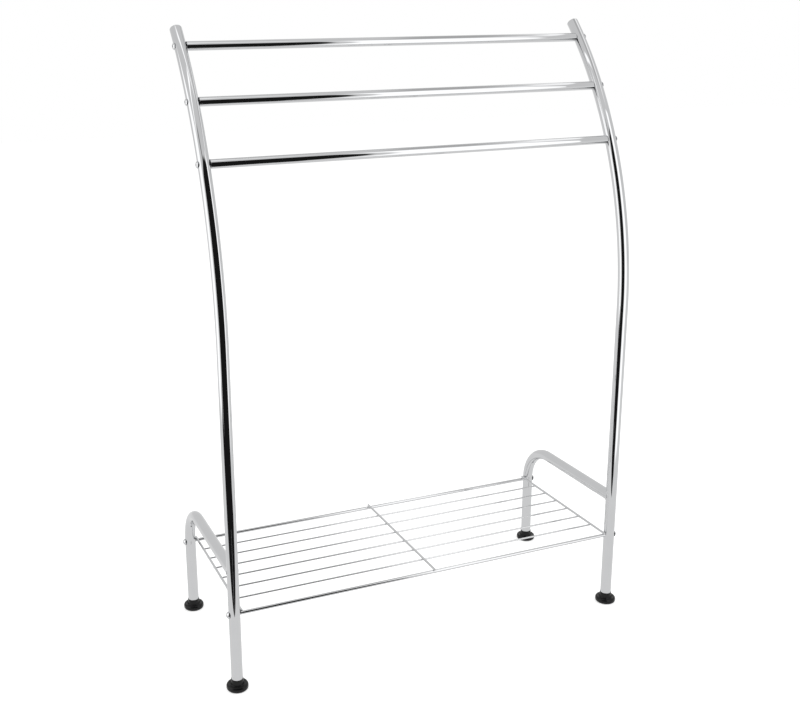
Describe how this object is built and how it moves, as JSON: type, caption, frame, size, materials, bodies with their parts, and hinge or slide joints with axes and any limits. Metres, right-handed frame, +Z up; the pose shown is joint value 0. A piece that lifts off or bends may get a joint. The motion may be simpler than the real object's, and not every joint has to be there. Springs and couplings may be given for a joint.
{
  "type": "freestanding towel stand",
  "caption": "Freestanding stand for towels: bent tube side frames, stepped horizontal bars at the top, low wire shelf and round moulded feet.",
  "frame": {"origin": "on the floor, midway between the four feet", "axes": "+X from left to right along the bars, +Y from the front to the back, +Z up"},
  "size_m": [0.6305, 0.2634, 0.8776],
  "materials": {
    "chrome_tube": "mirror chrome plate on steel tube",
    "chrome_wire": "bright chrome plate on steel wire",
    "chrome_screw": "bright chrome plate",
    "chrome_cap": "mirror chrome plate",
    "plain_steel": "zinc-plated, hidden in the bars",
    "black_plastic": "glossy moulded black"
  },
  "bodies": {
    "root": {"left_post": "chrome_tube", "left_rear_leg": "chrome_tube", "left_weld_bead": "chrome_tube", "left_post_cap": "chrome_cap", "left_front_foot": "black_plastic", "left_rear_foot": "black_plastic", "right_post": "chrome_tube", "right_rear_leg": "chrome_tube", "right_weld_bead": "chrome_tube", "right_post_cap": "chrome_cap", "right_front_foot": "black_plastic", "right_rear_foot": "black_plastic", "towel_bar_1": "chrome_tube", "towel_bar_2": "chrome_tube", "towel_bar_3": "chrome_tube", "towel_bar_inserts": "plain_steel", "towel_bar_screws": "chrome_screw", "shelf_front_rod": "chrome_wire", "shelf_rear_rod": "chrome_wire", "shelf_long_wire_1": "chrome_wire", "shelf_long_wire_2": "chrome_wire", "shelf_long_wire_3": "chrome_wire", "shelf_long_wire_4": "chrome_wire", "shelf_long_wire_5": "chrome_wire", "shelf_long_wire_6": "chrome_wire", "shelf_cross_wire_left": "chrome_wire", "shelf_cross_wire_middle": "chrome_wire", "shelf_cross_wire_right": "chrome_wire", "shelf_screws": "chrome_screw"}
  },
  "joints": []
}
